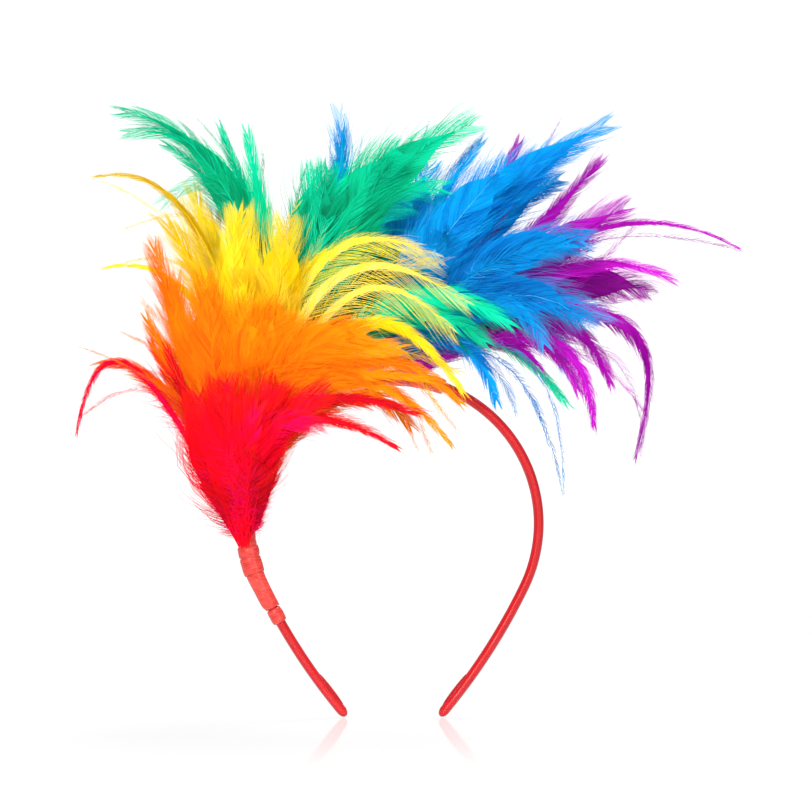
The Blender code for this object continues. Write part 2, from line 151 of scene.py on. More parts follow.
def satin(name, length, girth, deep, bright, grain, rib, shaded_ends=0.0, shaded_sides=0.0):
    """Satin on a sleeve of this length and girth: long floats of thread, fine ribs, painted edge
    shade.
    """
    material, surface, feed = finish(name, Specular_IOR_Level=SATIN_GLOSS)
    lengthwise, around = mesh_places(surface)
    grains = {0: lengthwise * (length / grain[0]), 1: around * (girth / grain[1])}
    spot = surface.add("CombineXYZ", {}, grains)
    floats = surface.add("TexNoise", FLAT_NOISE, {"Vector": spot, "Scale": 1.0, "Detail": 3.0})
    patches = surface.add(
        "TexNoise", FLAT_NOISE, {"Vector": spot, "Scale": PATCH_SCALE, "Detail": 1.0}
    )
    wave = lengthwise * (length * 2 * math.pi / rib) + around * RIB_SLANT
    ribs = surface.maths("SINE", wave) * 0.5 + 0.5
    tone = floats * 1.1 + patches * 0.5 + ribs * 0.3 - 0.45
    # Painted shade: the colour darkens towards the ends and sides, by the shares given for each
    # piece.
    from_end = surface.maths("ABSOLUTE", lengthwise * 2 - 1) ** END_SHARPNESS
    from_side = surface.maths("ABSOLUTE", around * 2 - 1) ** SIDE_SHARPNESS
    edge = from_end * shaded_ends + from_side * shaded_sides
    edge_shade_colour = tuple(EDGE_SHADE * part for part in deep)
    feed("Base Color", edge.between(tone.between(deep, bright), edge_shade_colour))
    feed("Roughness", SATIN_ROUGHNESS + FLOAT_ROUGHNESS * floats)
    height = floats * (1 - RIB_SHARE) + ribs * RIB_SHARE
    relief = {"Strength": 0.35, "Distance": SATIN_RELIEF, "Height": height}
    feed("Normal", surface.add("Bump", {}, relief))
    return material


SMALLEST_FACE = 1e-13


class Mesh:
    """Corners, faces and colour places that are gathered for one piece."""

    def __init__(self):
        self.points = []
        self.faces = []
        self.places = []
        self.count = 0

    def add(self, points, faces, places):
        self.points.append(points.reshape(-1, 3))
        self.faces.append(faces + self.count)
        self.places.append(places.reshape(-1, 2))
        self.count += len(self.points[-1])

    def sheet(self, grid, places):
        """A grid of points, joined by faces along its rows and columns."""
        rows, columns = grid.shape[:2]
        corner = (np.arange(rows - 1)[:, None] * columns + np.arange(columns - 1)).ravel()
        low = np.stack((corner, corner + 1, corner + columns), axis=1)
        high = np.stack((corner + 1, corner + columns + 1, corner + columns), axis=1)
        self.add(grid, np.concatenate((low, high)), places)

    def piece(self, name, material, slot, node):
        """The finished piece, riding on the headband and standing for its CAD node."""
        points = np.concatenate(self.points)
        faces = np.concatenate(self.faces)
        places = np.concatenate(self.places)
        sides = points[faces[:, 1:]] - points[faces[:, :1]]
        areas = np.linalg.norm(np.cross(sides[:, 0], sides[:, 1]), axis=1)
        faces = faces[areas > SMALLEST_FACE]
        mesh = bpy.data.meshes.new(name)
        mesh.vertices.add(len(points))
        mesh.vertices.foreach_set("co", points.astype(np.float32).ravel())
        mesh.loops.add(len(faces) * 3)
        mesh.loops.foreach_set("vertex_index", faces.astype(np.int32).ravel())
        mesh.polygons.add(len(faces))
        mesh.polygons.foreach_set("loop_start", np.arange(0, len(faces) * 3, 3, dtype=np.int32))
        mesh.update(calc_edges=True)
        layer = mesh.uv_layers.new(name="OFBake")
        layer.data.foreach_set("uv", places[faces.ravel()].astype(np.float32).ravel())
        mesh.shade_smooth()
        mesh.materials.append(material)
        piece = bpy.data.objects.new(name, mesh)
        bpy.context.scene.collection.objects.link(piece)
        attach(piece, "root")
        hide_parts(node)


HEAD_RADIUS = 0.06065
HOOP_RADIUS = 0.0628
HOOP_SWEEP = math.radians(115.8)
LEG_RADIUS = 0.264
HOOP_HALF_LENGTH = 0.1937
HOOP_THICKNESS = 0.0043
HOOP_DEPTH = 0.0065
HOOP_RINGS = 190
HOOP_SIDES = 36
TIP_LENGTH = 0.0035
TIP_TURNS = np.radians((12, 24, 36, 48, 59, 69, 78, 85, 88.5))
GATHERS = 11
GATHER_DEPTH = 0.00007
GATHER_LENGTH = 0.006
ROUND_TURNS = np.linspace(-math.pi, math.pi, HOOP_SIDES + 1)[None]


def hoop_line(distances):
    """Points in the hoop's middle and their outward directions, at lengths left of the crown."""
    distances = np.asarray(distances, float)
    side = np.where(distances < 0, 1.0, -1.0)
    length = np.abs(distances)
    arc = HOOP_RADIUS * HOOP_SWEEP
    leg = (length > arc)[..., None]
    turn = np.where(length > arc, HOOP_SWEEP + (length - arc) / LEG_RADIUS, length / HOOP_RADIUS)
    out = np.stack((side * np.sin(turn), 0 * turn, np.cos(turn)), axis=-1)
    knee_turn = np.full_like(turn, HOOP_SWEEP)
    knee = np.stack((side * np.sin(knee_turn), 0 * turn, np.cos(knee_turn)), axis=-1)
    on_leg = knee * (HOOP_RADIUS - LEG_RADIUS) + out * LEG_RADIUS
    points = np.array((0, 0, -HEAD_RADIUS)) + np.where(leg, on_leg, out * HOOP_RADIUS)
    return points, out


def sleeve(distances, thick, deep, shift=0.0):
    """Rings round the hoop with these half thicknesses, half depths and outward shifts."""
    centres, outs = hoop_line(distances + 0 * ROUND_TURNS)
    grid = centres + outs * (shift + thick * np.cos(ROUND_TURNS))[..., None]
    grid[..., 1] += deep * np.sin(ROUND_TURNS)
    return grid


def sleeve_places(rows, sides=HOOP_SIDES):
    """Colour places for a sleeve, from end to end and once round."""
    ends, rounds = np.linspace(0, 1, rows), np.linspace(0, 1, sides + 1)
    return np.stack(np.meshgrid(ends, rounds, indexing="ij"), axis=-1)


def column(values):
    return np.asarray(values, float)[:, None]


tip_start = HOOP_HALF_LENGTH - TIP_LENGTH
tip_reach = tip_start + TIP_LENGTH * np.sin(TIP_TURNS)
rings = np.linspace(-tip_start, tip_start, HOOP_RINGS)
distances = column(np.concatenate((-tip_reach[::-1], rings, tip_reach)))
tip_size = np.cos(TIP_TURNS)
fullness = column(np.concatenate((tip_size[::-1], np.ones(HOOP_RINGS), tip_size)))
gather = np.exp(-(HOOP_HALF_LENGTH - np.abs(distances)) / GATHER_LENGTH) * GATHER_DEPTH
gather = gather * np.sin(GATHERS * ROUND_TURNS) * fullness
half_thick = HOOP_THICKNESS / 2 * fullness + gather
half_deep = HOOP_DEPTH / 2 * fullness + gather
tube = Mesh()
tube.sheet(sleeve(distances, half_thick, half_deep), sleeve_places(len(distances)))
BAND_DEEP = (0.33, 0.000, 0.003)
BAND_BRIGHT = (0.58, 0.003, 0.006)
band_satin = satin(
    "band_satin", length=0.387, girth=0.017, deep=BAND_DEEP, bright=BAND_BRIGHT,
    grain=(0.009, 0.0005), rib=0.0005,
)
tube.piece("satin_tube", band_satin, "satin", "band")

LAP_LENGTH = 0.017
LAP_WIDTH = 0.0042
LAP_THICKNESS = 0.0005
LAP_FROM_TIP = 0.0045
LAP_EDGE = 0.00025
LAP_ROWS = 21
LAP_ACROSS = (-1.0, -1.0, -0.93, -0.8, -0.55, -0.28, 0, 0.28, 0.55, 0.8, 0.93, 1.0, 1.0)
LAP_RISE = (-0.1, 0.25, 0.42, 0.58, 0.80, 0.95, 1.0, 0.95, 0.80, 0.58, 0.42, 0.25, -0.1)
# The lap's sides and ends carry painted shade, for the shadow in the crease under its edges.
lap_satin = satin(
    "lap_satin", length=LAP_LENGTH, girth=LAP_WIDTH, deep=BAND_DEEP, bright=BAND_BRIGHT,
    grain=(0.004, 0.0003), rib=0.0005, shaded_ends=0.3, shaded_sides=1.0,
)
for name, side in (("left_end_lap", 1), ("right_end_lap", -1)):
    t = column(np.linspace(0.01, 0.99, LAP_ROWS))
    lens = np.sqrt(np.sin(math.pi * t))
    reach = LAP_WIDTH / 2 * np.array(LAP_ACROSS)[None] * lens
    under = HOOP_THICKNESS / 2 * np.sqrt(1 - (reach / (HOOP_DEPTH / 2)) ** 2)
    crest = (LAP_THICKNESS + LAP_EDGE) * np.array(LAP_RISE)[None] * lens
    from_crown = HOOP_HALF_LENGTH - LAP_FROM_TIP - LAP_LENGTH * (1 - t)
    centres, outs = hoop_line(side * from_crown + 0 * reach)
    grid = centres - outs * (under + crest)[..., None]
    grid[..., 1] += reach * side
    lap = Mesh()
    lap.sheet(grid, sleeve_places(LAP_ROWS, len(LAP_ACROSS) - 1))
    lap.piece(name.replace("end", "satin"), lap_satin, "satin", name)

# The ribbon
# A narrow red satin ribbon, wound in slanting turns round the hoop under the feathers to hold
# their stems. Its low end is padded and closed by a thin cuff, and two turns bind the stems.

RIBBON_GAP = 0.0003
RIBBON_WALL = 0.0009
RIBBON_LOW_END = 0.1372
RIBBON_CROWN_END = 0.0225
RIBBON_PITCH = 0.0062
RIBBON_STEP = 0.00022
RIBBON_PHASES = (0.0, 0.03, 0.10, 0.30, 0.55, 0.80, 0.97)
RIBBON_RISES = (0.0, 0.15, 0.35, 0.62, 0.82, 0.95, 1.0)
RIBBON_SINK = 0.6
PAD_TOP = 0.1206
PAD_LENGTH = 0.040
PAD_SWELL = 0.0012
PAD_SIDE_SWELL = 0.3
PAD_PROFILE = (
    (0.00, 0.02, 0.05, 0.10, 0.25, 0.42, 0.75, 1.00),
    (-0.45, 0.05, 0.35, 0.52, 0.60, 1.00, 1.00, 0.00),
)
RIBBON_DEEP = (0.36, 0.003, 0.007)
RIBBON_BRIGHT = (0.86, 0.080, 0.055)
RIBBON_RIB = 0.00042


def ribbon_size(distances, extra=0.0):
    """The ribbon sleeve's half thickness, half depth and outward shift, swollen at the pad."""
    swell = PAD_SWELL * np.interp((RIBBON_LOW_END - distances) / PAD_LENGTH, *PAD_PROFILE)
    swell = np.where(RIBBON_LOW_END - distances > PAD_LENGTH, 0.0, swell)
    wall = RIBBON_GAP + RIBBON_WALL + extra
    thick = HOOP_THICKNESS / 2 + wall + swell / 2
    return thick, HOOP_DEPTH / 2 + wall + swell * PAD_SIDE_SWELL, swell / 2


windings = math.ceil((RIBBON_LOW_END + RIBBON_CROWN_END) / RIBBON_PITCH) + 2
wound = (np.arange(windings)[:, None] + np.array(RIBBON_PHASES)[None]).ravel() - 1
slant = RIBBON_PITCH * np.linspace(0, 1, HOOP_SIDES + 1)[None]
free = column(RIBBON_LOW_END - wound * RIBBON_PITCH) - slant
held = np.clip(free, -RIBBON_CROWN_END, RIBBON_LOW_END)
outside = free != held
steps = column(np.tile(np.array(RIBBON_RISES) - RIBBON_SINK, windings))
thick, deep, shift = ribbon_size(held, RIBBON_STEP * steps * (held < PAD_TOP))
thick = np.where(outside, HOOP_THICKNESS / 2, thick)
deep = np.where(outside, HOOP_DEPTH / 2, deep)
shift = np.where(outside, 0.0, shift)
sheath = Mesh()
sheath.sheet(sleeve(held, thick, deep, shift)[::-1], sleeve_places(len(wound)))
ribbon_satin = satin(
    "ribbon_satin", length=0.17, girth=0.021, deep=RIBBON_DEEP, bright=RIBBON_BRIGHT,
    grain=(0.0007, 0.004), rib=RIBBON_RIB,
)
sheath.piece("wound_ribbon", ribbon_satin, "ribbon", "ribbon_sheath")

CREASE_DEPTH = 0.00006
TURN_GIRTH = 0.023
TURN_PROFILE = (
    (0.0, 0.0, 0.04, 0.12, 0.30, 0.50, 0.70, 0.88, 0.96, 1.0, 1.0),
    (-0.9, 0.45, 0.80, 1.00, 1.08, 1.15, 1.08, 1.00, 0.80, 0.45, -0.9),
)
RIBBON_TURNS = (
    ("ribbon_cuff", "ribbon_end", 0.1375, 0.1441, 0.0007, 0.0),
    ("binding_turn_1", "binding_low", 0.1132, 0.1206, 0.0006, 0.0004),
    ("binding_turn_2", "binding_high", 0.1085, 0.1129, 0.0006, -0.0003),
)
for node, name, high_edge, low_edge, wall, tilt in RIBBON_TURNS:
    across, rise = (column(row) for row in TURN_PROFILE)
    distances = low_edge - (low_edge - high_edge) * across + tilt * np.sin(ROUND_TURNS)
    creases = np.sin(3 * ROUND_TURNS + 9 * across) * (1 - np.abs(2 * across - 1) ** 4)
    if node == "ribbon_cuff":
        extra = (RIBBON_GAP + wall) * np.maximum(rise, 0) + CREASE_DEPTH * creases
        thick, deep, shift = HOOP_THICKNESS / 2 + extra, HOOP_DEPTH / 2 + extra, 0.0
    else:
        thick, deep, shift = ribbon_size(distances, wall * rise + CREASE_DEPTH * creases)
    turn = Mesh()
    turn.sheet(sleeve(distances, thick, deep, shift)[::-1], sleeve_places(len(across)))
    # Each turn's two edges carry painted shade, for the shadow along the overlaps.
    turn_satin = satin(
        name + "_satin", length=low_edge - high_edge, girth=TURN_GIRTH, deep=RIBBON_DEEP,
        bright=RIBBON_BRIGHT, grain=(0.0005, 0.003), rib=RIBBON_RIB, shaded_ends=1.0,
    )
    turn.piece(name, turn_satin, "ribbon", node)

# The red plume
# A bunch of dyed red cock feathers, their stems bound to the left leg by the ribbon turns. Each
# has a thin springy shaft and long loose barbs that hook together only near the shaft.

PLUME_REACH = 0.150
PLUME_DEPTH = 0.033
STEM_OUT = 0.0047
STEM_ASIDE = 0.0058
FEATHER_BREADTH = 0.0210
BARB_RISE = 0.045
TIP_FLARE = 0.028
FLARE_FROM = 0.4
LEAST_TURN = 50
TURNED_BY = 0.3


def root_place(seat, depth):
    """Where a feather leaves the ribbon, from its front through its crest to its back."""
    middle, out = hoop_line(seat)
    round_turn = math.radians(90 * depth)
    aside = np.array((0.0, STEM_ASIDE * math.sin(round_turn), 0.0))
    return middle + out * STEM_OUT * math.cos(round_turn) + aside


def smooth(share):
    share = np.clip(share, 0.0, 1.0)
    return share * share * (3 - 2 * share)


def unit(rows):
    return rows / np.maximum(np.linalg.norm(rows, axis=-1, keepdims=True), 1e-12)


def centre_line(seat, layer, row, steps=40):
    """The stations of a feather's shaft: lengths, points, runs, faces and broad directions."""
    depth, flare = row[4:6]
    root = root_place(seat, depth)
    base = hoop_line(seat)[0]
    middle = base + np.array((row[0], 0, row[1])) * PLUME_REACH
    tip = base + np.array((row[2], 0, row[3])) * PLUME_REACH
    foot = root * np.array((1, 0, 1))
    bend = middle * 2 - (foot + tip) / 2
    length = np.linalg.norm(middle - foot) + np.linalg.norm(tip - middle)
    side = -1 if depth < 0 else 1
    s = np.linspace(0, 1, steps)[:, None]
    points = foot * (1 - s) ** 2 + bend * (2 * s * (1 - s)) + tip * s**2
    risen = smooth(s * length / BARB_RISE)
    swing = TIP_FLARE * flare * side * np.maximum((s - FLARE_FROM) / (1 - FLARE_FROM), 0) ** 2
    points[:, 1:2] = root[1] + (PLUME_DEPTH * layer * depth - root[1]) * risen + swing
    runs = unit(np.gradient(points, axis=0))
    in_plane = unit(np.stack((-runs[:, 2], 0 * runs[:, 0], runs[:, 0]), axis=1))
    wanted = side * max(abs(90 * depth), LEAST_TURN)
    turn = np.radians(90 * depth + (wanted - 90 * depth) * smooth(s / TURNED_BY))
    faces = in_plane * np.cos(turn) + np.array((0, 1, 0)) * np.sin(turn)
    faces = unit(faces - runs * (faces * runs).sum(axis=1, keepdims=True))
    broads = np.cross(runs, faces)
    lengths = np.concatenate(([0], np.cumsum(np.linalg.norm(np.diff(points, axis=0), axis=1))))
    far = lengths[-1] * 0.5
    lengths = np.append(lengths, lengths[-1] + far)
    points = np.vstack((points, points[-1] + runs[-1] * far))
    runs, faces, broads = (np.vstack((rows, rows[-1])) for rows in (runs, faces, broads))
    return lengths, points, runs, faces, broads


def along(lengths, rows, at):
    """The rows of a line's stations read at other lengths."""
    return np.stack([np.interp(at, lengths, rows[:, i]) for i in range(3)], axis=-1)


def frame_at(line, at):
    """Points of a feather's shaft at these lengths, with their face and broad directions."""
    lengths, points, _, faces, broads = line
    ups, acrosses = (unit(along(lengths, rows, at)) for rows in (faces, broads))
    return along(lengths, points, at), ups, acrosses


STRAND_SPOT = 0.006


def strands(mesh, lines, wides, widths, places, tones):
    """Flat strands along rows of points, each ending in a point."""
    count, steps = lines.shape[:2]
    left = lines[:, :-1] - wides[:, :-1] * widths[:, :-1, None] / 2
    right = lines[:, :-1] + wides[:, :-1] * widths[:, :-1, None] / 2
    corners = np.concatenate((left, right, lines[:, -1:]), axis=1)
    low = np.stack((places[:, :-1], tones[:, None] + 0 * places[:, :-1]), axis=-1)
    high = low + np.array((0.0, STRAND_SPOT))
    end = np.stack((places[:, -1:], tones[:, None] + STRAND_SPOT / 2), axis=-1)
    rungs = steps - 1
    pattern = []
    for i in range(rungs - 1):
        pattern.append((i, rungs + i, i + 1))
        pattern.append((rungs + i, rungs + i + 1, i + 1))
    pattern.append((rungs - 1, 2 * rungs - 1, 2 * rungs))
    faces = np.array(pattern)[None] + (np.arange(count) * (2 * rungs + 1))[:, None, None]
    mesh.add(corners, faces.reshape(-1, 3), np.concatenate((low, high, end), axis=1))


SHAFT_WIDTH = 0.0008
SHAFT_STATIONS = 11
SHAFT_SIDES = 4
SHAFT_TAPER = 0.85
SHAFT_TIP = 0.00004


def shaft(mesh, line, reach, width, tone):
    """The tapered round shaft of a feather."""
    shares = np.linspace(0, 1, SHAFT_STATIONS)
    centres, ups, acrosses = frame_at(line, np.linspace(0, reach, SHAFT_STATIONS))
    radii = (width / 2 * (1 - SHAFT_TAPER * shares) + SHAFT_TIP)[:, None, None]
    turns = (np.arange(SHAFT_SIDES) * math.pi / 2)[None, :, None]
    ring = (
        centres[:, None]
        + ups[:, None] * np.cos(turns) * radii
        + acrosses[:, None] * np.sin(turns) * radii
    )
    spots = np.zeros((SHAFT_STATIONS, SHAFT_SIDES, 2))
    spots[:, :, 0] = np.linspace(0, 0.9, SHAFT_STATIONS)[:, None]
    spots[:, :, 1] = tone / 2 + np.linspace(0, 0.01, SHAFT_SIDES)[None]
    cells = []
    for i in range(SHAFT_STATIONS - 1):
        for j in range(SHAFT_SIDES):
            a, b = i * SHAFT_SIDES + j, i * SHAFT_SIDES + (j + 1) % SHAFT_SIDES
            cells.append((a, b, a + SHAFT_SIDES))
            cells.append((b, b + SHAFT_SIDES, a + SHAFT_SIDES))
    mesh.add(ring, np.array(cells), spots)


BARB_WIDTH = 0.00022
BARB_STATIONS = np.array((0.0, 0.3, 0.65, 1.0))
BARB_LIFT = 0.18
BARB_CURVE = 1.7
BARB_PAST_TIP = 0.0035
BARB_SWELL = (
    (0.0, 0.12, 0.28, 0.45, 0.62, 0.78, 0.91, 1.0),
    (0.40, 0.55, 0.85, 1.00, 0.85, 0.58, 0.36, 0.16),
)
BARB_LEAN = ((0.0, 0.25, 0.5, 0.75, 1.0), (1.3, 1.7, 2.2, 3.2, 6.0))


def barb_places(start, side, half_breadth, full, t, wide=1.0, ahead=1.0):
    """How far across and ahead the points of barbs lie that leave the shaft at these shares."""
    reach = half_breadth * np.interp(start, *BARB_SWELL) * wide
    forward = reach * np.interp(start, *BARB_LEAN) * ahead
    forward = np.minimum(forward, full * (1.005 - start) + BARB_PAST_TIP * ahead)
    across = side * reach[:, None] * (1 - (1 - t) ** BARB_CURVE)
    return across, start[:, None] * full + forward[:, None] * t


def painted_foot_shade(start):
    """The painted shade that darkens a feather towards its foot, where the next ones cover it."""
    return 0.30 * (1 - smooth(start / 0.45))


WEB_ROWS = 18
WEB_COLUMNS = 4
WEB_NARROWS = 0.35
WEB_BEHIND = 0.00015
WEB_SPOT = 0.56
WEB_SPOTS = 0.42


def vane(mesh, line, side, half_breadth, reach_share, tone):
    """The closed part of one vane, beside the shaft, where the barbs hook into a web."""
    full = line[0][-2]
    start = np.linspace(0.04, 0.93, WEB_ROWS)
    t = np.linspace(0, reach_share, WEB_COLUMNS)
    breadth = half_breadth * smooth((1 - start) / WEB_NARROWS)
    across, ahead = barb_places(start, side, breadth, full, t)
    lift = BARB_LIFT * half_breadth * t[None] ** 2 - WEB_BEHIND
    centres, ups, acrosses = frame_at(line, ahead)
    grid = centres + acrosses * across[..., None] + ups * (lift + 0 * across)[..., None]
    spots = np.zeros((WEB_ROWS, WEB_COLUMNS, 2))
    spots[:, :, 0] = start[:, None]
    # The web darkens towards the foot with painted shade.
    tones = np.clip(tone - painted_foot_shade(start), 0.02, 0.84)
    spots[:, :, 1] = WEB_SPOT + WEB_SPOTS * tones[:, None] + 0.01 * t[None]
    mesh.sheet(grid, spots)


SHAFT_REACH = 0.97
STRAY_SHARE = 0.14
STRAY_SHADE = 0.3
STRAY_LEAN = 0.5
STRAY_THIN = 0.75
CLUMP_PULL = 0.40
SHAFT_SPOTS = 0.75
BARB_SPOTS = 0.23


def feather(mesh, chance, seat, layer, row, barbs, web, quill, loose=0.12, shade=0.0,
            longer=1.0, lower=1.0, clumping=0.10):
    """One feather: its shaft, its two vanes and their long barbs, which part into small clumps."""
    line = centre_line(seat, layer, row)
    full = line[0][-2]
    half_breadth = FEATHER_BREADTH * row[6] / 2
    shaft_width = SHAFT_WIDTH * (0.4 + 0.6 * min(row[6], 1))
    shaft(mesh, line, full * SHAFT_REACH, shaft_width, quill)
    feather_tone = chance.normal(0.5, 0.15) + shade
    count = barbs // 2
    t = BARB_STATIONS
    for side in (-1, 1):
        hanging = lower if side > 0 else 1.0
        if web and hanging == 1.0:
            vane(mesh, line, side, half_breadth, web, feather_tone)
        start = np.linspace(0.03, 0.98, count) + chance.normal(0, 0.3 / count, count)
        start = np.clip(start, 0.02, 0.985)
        clump = np.cumsum(chance.uniform(size=count) < clumping)
        clumps = clump[-1] + 1
        sizes = np.maximum(np.bincount(clump, minlength=clumps), 1)
        middle = (np.bincount(clump, start, clumps) / sizes)[clump]
        lean = chance.normal(0, loose, clumps)[clump] + chance.normal(0, 0.05, count)
        wide = np.clip(chance.normal(1, 0.10, clumps), 0.6, 1.4)[clump]
        wide = wide * chance.normal(1, 0.06, count)
        ahead_share = np.clip(chance.normal(1, 0.10, clumps), 0.6, 1.4)[clump]
        tone = chance.normal(0, 0.08, clumps)[clump] + chance.normal(0, 0.07, count)
        # Painted shade darkens the barbs towards the foot.
        tone = tone + feather_tone - painted_foot_shade(start)
        stray = chance.uniform(size=count) < STRAY_SHARE
        lean = np.where(stray, chance.normal(0, STRAY_LEAN, count), lean)
        wide = np.where(stray, wide * chance.uniform(1.1, 1.7, count), wide)
        tone = np.where(stray, tone - STRAY_SHADE, tone)
        swell = half_breadth * longer * hanging
        across, ahead = barb_places(start, side, swell, full, t, wide, ahead_share)
        pull = np.where(stray, 0.0, CLUMP_PULL) * (middle - start) * full
        ahead = ahead + pull[:, None] * t**2
        reach = np.abs(across[:, -1:])
        down = smooth((0.25 - start) / 0.2)[:, None]
        lift = (BARB_LIFT + lean[:, None] * (1 + down)) * reach * t**1.6
        centres, ups, acrosses = frame_at(line, ahead)
        lines = centres + acrosses * across[..., None] + ups * lift[..., None]
        wides = unit(np.cross(np.gradient(lines, axis=1), ups))
        thin = BARB_WIDTH * (1.15 - 0.45 * start) * np.where(stray, STRAY_THIN, 1.0)
        widths = thin[:, None] * np.array((1.0, 1.0, 0.7, 0.0))
        places = np.clip(ahead / full, 0, 1) * SHAFT_SPOTS + t[None] * BARB_SPOTS
        strands(mesh, lines, wides, widths, places, np.clip(tone, 0.02, 0.88) / 2)


COMPANIONS = 2
COMPANION_SPREAD = 0.028
NARROW_FEATHER = 0.65


def companions(chance, rows):
    """Smaller feathers that lie beside the broad ones of a table, each a little off them."""
    made = []
    for row in rows:
        for _ in range(COMPANIONS if row[6] > NARROW_FEATHER else 0):
            share = chance.uniform(0.62, 1.04)
            near = np.array(row, float)
            aside = chance.normal(0, COMPANION_SPREAD * 0.6, 2)
            near[0:2] = near[0:2] * (0.5 + 0.5 * share) + aside
            near[2:4] = near[2:4] * share + chance.normal(0, COMPANION_SPREAD, 2)
            near[4] = np.clip(near[4] + chance.normal(0, 0.15), -1.1, 1.1)
            near[5] = near[5] + chance.normal(0, 0.12)
            near[6] = near[6] * chance.uniform(0.6, 0.95)
            made.append(near)
    return made


DYE_ROUGHNESS = 0.75
DYE_GLOSS = 0.12
BARBS_ALONG = 240.0
BARBS_ACROSS = 9.0
BARB_RELIEF = 0.0003
SHOWS_THROUGH = 0.28
TIP_FROM = 0.72
TIP_SHARE = 0.6


def feather_dye(name, deep, body, bright, tip, quill):
    """Dyed barbs: the shade runs from clump to clump, and thins and pales towards the tips."""
    material, surface, feed = finish(
        name, Roughness=DYE_ROUGHNESS, Specular_IOR_Level=DYE_GLOSS
    )
    outward, height = mesh_places(surface)
    web = surface.maths("GREATER_THAN", height, WEB_SPOT - 0.03)
    spots = {0: outward * BARBS_ALONG, 1: height * BARBS_ACROSS}
    barb = surface.add("CombineXYZ", {}, spots)
    lines = surface.add("TexNoise", FLAT_NOISE, {"Vector": barb, "Scale": 1.0, "Detail": 2.0})
    web_tone = (height - WEB_SPOT) * (1 / WEB_SPOTS) + (lines - 0.5) * 0.6
    tone = height * 2.0 * (1 - web) + web_tone * web
    # Low tones, among them the painted shade at the feet and in the painted-shadow feathers, take
    # the deep colour.
    stops = [(0.0, deep), (0.45, body), (0.85, bright), (0.9, quill), (1.0, quill)]
    shade = surface.add("ValToRGB", {"stops": stops}, {0: tone})
    ending = surface.maths("MAXIMUM", outward - TIP_FROM, 0.0) * (TIP_SHARE / (1 - TIP_FROM))
    feed("Base Color", ending.between(shade, tip))
    relief = {"Strength": 0.5, "Distance": BARB_RELIEF, "Height": lines * web}
    feed("Normal", surface.add("Bump", {}, relief))
    thin = surface.add("BsdfTranslucent", {}, {"Color": (*body, 1)})
    feed("Surface", surface.add("MixShader", {}, {0: SHOWS_THROUGH, 1: surface, 2: thin}))
    return material


# A row of a table gives a feather's middle and its tip, right and up from its seat in shares of
# the plume's reach, then how far to the front or back it stands, how far its tip flares out
# there, and how broad it is.

RED_FEATHERS = (
    (-0.33, 0.50, -0.49, 0.295, -0.25, 0, 0.26),
    (-0.13, 0.30, -0.225, 0.56, -0.6, 0.1, 0.5),
    (-0.165, 0.315, -0.295, 0.57, 0.8, 0.1, 0.4),
    (-0.085, 0.215, -0.13, 0.43, -0.9, 0.1, 1),
    (-0.045, 0.225, -0.055, 0.47, -1, 0.3, 1.1),
    (0.0, 0.215, 0.03, 0.41, -1, 0.3, 1.0),
    (0.02, 0.225, 0.10, 0.46, -0.95, 0.2, 1),
    (0.05, 0.275, 0.23, 0.435, -1, 0.1, 0.85),
    (0.14, 0.37, 0.5, 0.365, -1, 0, 0.36),
    (0.11, 0.335, 0.44, 0.27, -0.9, 0.2, 0.28),
    (-0.105, 0.215, -0.165, 0.405, 0.85, 0.2, 0.9),
    (-0.035, 0.235, -0.06, 0.46, 1, 0.3, 1.1),
    (0.03, 0.23, 0.055, 0.455, 1, 0.3, 1),
    (0.11, 0.335, 0.34, 0.38, 0.95, 0.1, 0.5),
)

DOWN_STATIONS = np.array((0.0, 0.35, 0.7, 1.0))
DOWN_WIDTH = 0.00013
DOWN_TONE = 0.93
STEM_BARB_WIDTH = 0.00028
STEM_BARB_TONE = 0.5
STEM_BARBS = 620


def soft_strands(mesh, lines, width, place, spread, tones):
    """Loose strands with their broad sides to the front, which thin towards their ends."""
    wides = unit(np.cross(np.gradient(lines, axis=1), np.array((0.0, 1.0, 0.01))))
    widths = width * np.array((1.0, 0.9, 0.6, 0.0))[None] * np.ones((len(lines), 1))
    places = np.full((len(lines), 4), place) + spread * DOWN_STATIONS[None]
    strands(mesh, lines, wides, widths, places, tones)


def fluff(mesh, chance, seat, layer, rows, count):
    """Short soft down that stands off the lower part of each feather, all round."""
    for row in rows:
        lengths, points, runs, _, _ = centre_line(seat, layer, row)
        at = chance.uniform(0.03, 0.62, count) * lengths[-2]
        centres = along(lengths, points, at)
        ways = unit(chance.normal(0, 1, (count, 3)) * np.array((1.0, 0.8, 0.35)))
        ahead = unit(along(lengths, runs, at))
        size = chance.uniform(0.004, 0.0115, count)[:, None, None]
        lines = centres[:, None] + ways[:, None] * size * DOWN_STATIONS[None, :, None]
        lines = lines + ahead[:, None] * size * 0.35 * (DOWN_STATIONS**2)[None, :, None]
        tones = DOWN_TONE / 2 + chance.uniform(0, 0.015, count)
        soft_strands(mesh, lines, DOWN_WIDTH, 0.3, 0.2, tones)


def collar(mesh, chance, seat, layer, rows):
    """Soft barbs that cover the stems, from the ribbon's edge up into the plume."""
    t = DOWN_STATIONS[:, None]
    lines = []
    for _ in range(STEM_BARBS):
        row = rows[chance.integers(len(rows))]
        depth = row[4] * chance.uniform(0.5, 1.05)
        foot = root_place(seat + chance.uniform(-0.006, 0.0026), depth)
        lengths, points, _, _, _ = centre_line(seat, layer, row, 12)
        goal = along(lengths, points, lengths[-2] * chance.uniform(0.16, 0.34))
        reach = goal - foot + chance.normal(0, 0.0012, 3)
        sweep = chance.normal(0, 0.0011, 3) + (0, 0.0016 * np.sign(depth), 0)
        lines.append(foot + reach * t + sweep * 4 * t * (1 - t))
    tones = STEM_BARB_TONE / 2 + chance.uniform(-0.1, 0.1, STEM_BARBS)
    soft_strands(mesh, np.array(lines), STEM_BARB_WIDTH, 0.1, 0.3, tones)


DEPTH_FREE = 0.038
DEPTH_ROOM = 0.011
BARBS = 620
BROAD_FEATHER = 0.8


